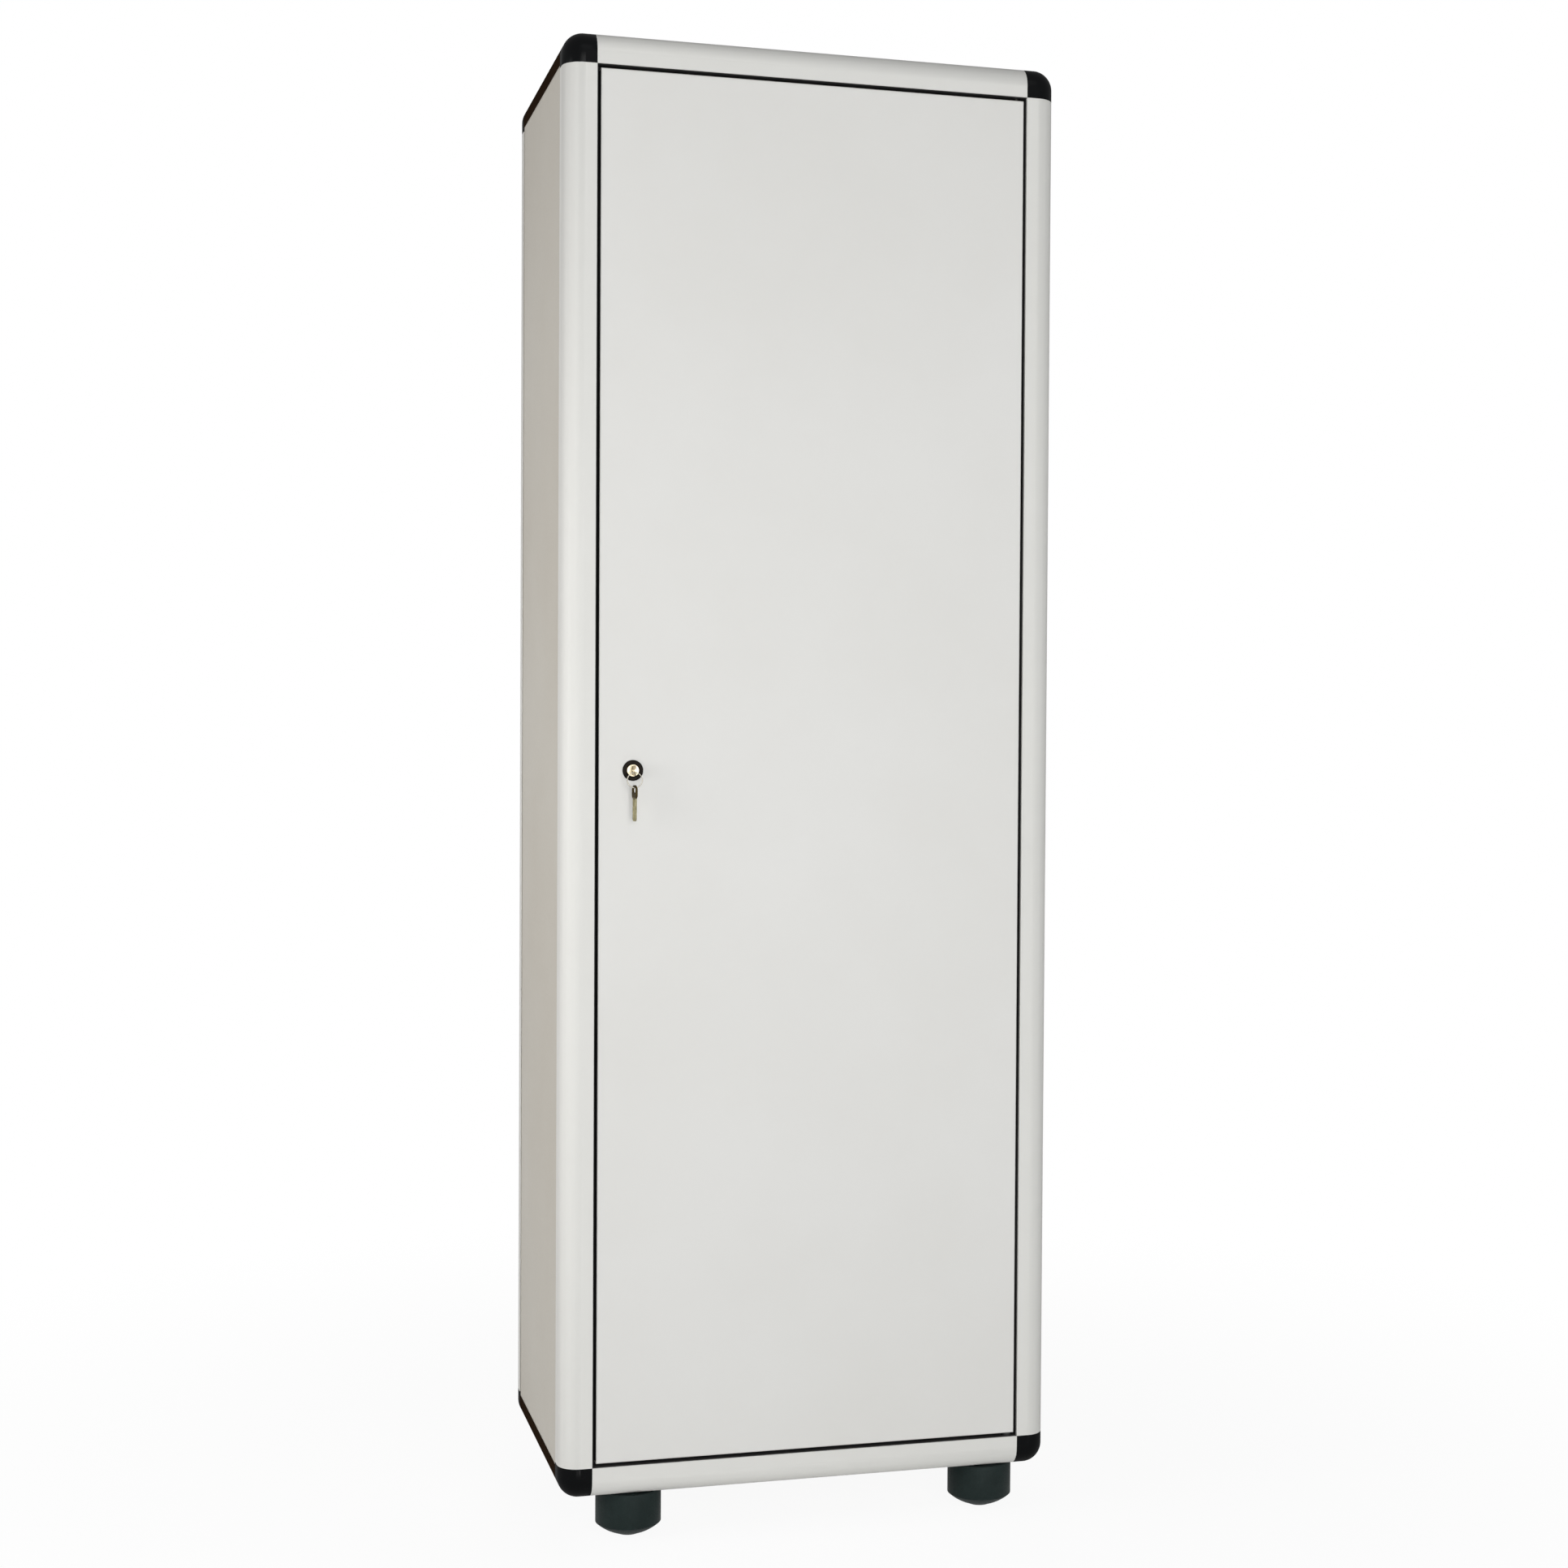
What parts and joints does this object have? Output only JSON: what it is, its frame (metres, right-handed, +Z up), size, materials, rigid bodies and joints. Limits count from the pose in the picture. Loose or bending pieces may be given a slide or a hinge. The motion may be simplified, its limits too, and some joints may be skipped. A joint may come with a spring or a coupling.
{
  "type": "tall storage cabinet",
  "caption": "Tall narrow storage cabinet: rounded profile frame with black corner caps, one pivoted locking door, shelves inside and round black feet.",
  "frame": {"origin": "on the floor, under the middle of the cabinet's frame", "axes": "+X to the cabinet's right as seen from the front, +Y into its depth, +Z up"},
  "size_m": [0.615, 0.4194, 1.806],
  "materials": {
    "frame_paint": "smooth light-grey semigloss paint",
    "panel_paint": "warm mid-grey semigloss powder coat",
    "door_paint": "light-grey semigloss powder coat",
    "depth_rail_paint": "black-brown satin paint",
    "cap_plastic": "black moulded plastic, satin",
    "foot_plastic": "dark green-black moulded plastic",
    "rubber": "matt black rubber",
    "zinc": "zinc-plated steel",
    "nickel": "polished nickel plate",
    "black_nickel": "polished black nickel plate",
    "brass": "brass with worn nickel plate",
    "nylon": "black nylon"
  },
  "bodies": {
    "cabinet": {"post_front_left": "frame_paint", "post_front_right": "frame_paint", "post_rear_left": "frame_paint", "post_rear_right": "frame_paint", "rail_front_top": "frame_paint", "rail_front_bottom": "frame_paint", "rail_rear_top": "frame_paint", "rail_rear_bottom": "frame_paint", "rail_left_top": "depth_rail_paint", "rail_left_bottom": "depth_rail_paint", "rail_right_top": "depth_rail_paint", "rail_right_bottom": "depth_rail_paint", "cap_front_left_top": "cap_plastic", "cap_front_right_top": "cap_plastic", "cap_rear_left_top": "cap_plastic", "cap_rear_right_top": "cap_plastic", "cap_front_left_bottom": "cap_plastic", "cap_front_right_bottom": "cap_plastic", "cap_rear_left_bottom": "cap_plastic", "cap_rear_right_bottom": "cap_plastic", "side_panel_left": "panel_paint", "side_panel_right": "panel_paint", "rear_panel": "panel_paint", "top_panel": "panel_paint", "floor_panel": "panel_paint", "shelf_1": "door_paint", "shelf_2": "door_paint", "shelf_3": "door_paint", "shelf_4": "door_paint", "foot_front_left": "foot_plastic", "foot_front_right": "foot_plastic", "foot_rear_left": "foot_plastic", "foot_rear_right": "foot_plastic", "shelf_tracks_left": "zinc", "shelf_tracks_right": "zinc", "shelf_clips": "zinc", "strike_plate": "zinc", "foot_bar_left": "zinc", "foot_bar_right": "zinc", "foot_bolts": "zinc", "door_seal": "rubber", "foot_pads": "rubber", "hinge_bush_top": "nylon", "hinge_bush_bottom": "nylon", "thrust_washer": "nylon"},
    "door": {"door_skin": "door_paint", "door_liner": "door_paint", "door_stiffener": "zinc", "pivot_block_top": "zinc", "pivot_block_bottom": "zinc", "pivot_pins": "zinc", "lock_housing": "black_nickel", "lock_nut": "zinc"},
    "lock": {"lock_plug": "brass", "lock_cam": "zinc", "cam_nut": "zinc", "key_in_lock": "brass"},
    "ring": {"key_ring": "nickel"},
    "hanging_key": {"spare_key": "brass"}
  },
  "joints": [
    {"name": "door_hinge", "type": "hinge", "parent": "cabinet", "child": "door", "pos_m": [0.2565, -0.191, 0.931], "axis": [0, 0, 1], "range_deg": [0, 105]},
    {"name": "lock_turn", "type": "hinge", "parent": "door", "child": "lock", "pos_m": [-0.2229, -0.199, 0.931], "axis": [0, 1, 0], "range_deg": [0, 90]},
    {"name": "ring_hang", "type": "hinge", "parent": "lock", "child": "ring", "pos_m": [-0.2229, -0.2131, 0.92605], "axis": [0, 1, 0], "range_deg": [-90, 0]},
    {"name": "spare_key_swing", "type": "hinge", "parent": "ring", "child": "hanging_key", "pos_m": [-0.2229, -0.2131, 0.91063], "axis": [-1, 0, 0], "range_deg": [-10, 60]}
  ],
  "couplings": [
    {"joint": "ring_hang", "follows": "lock_turn", "ratio": -1}
  ]
}
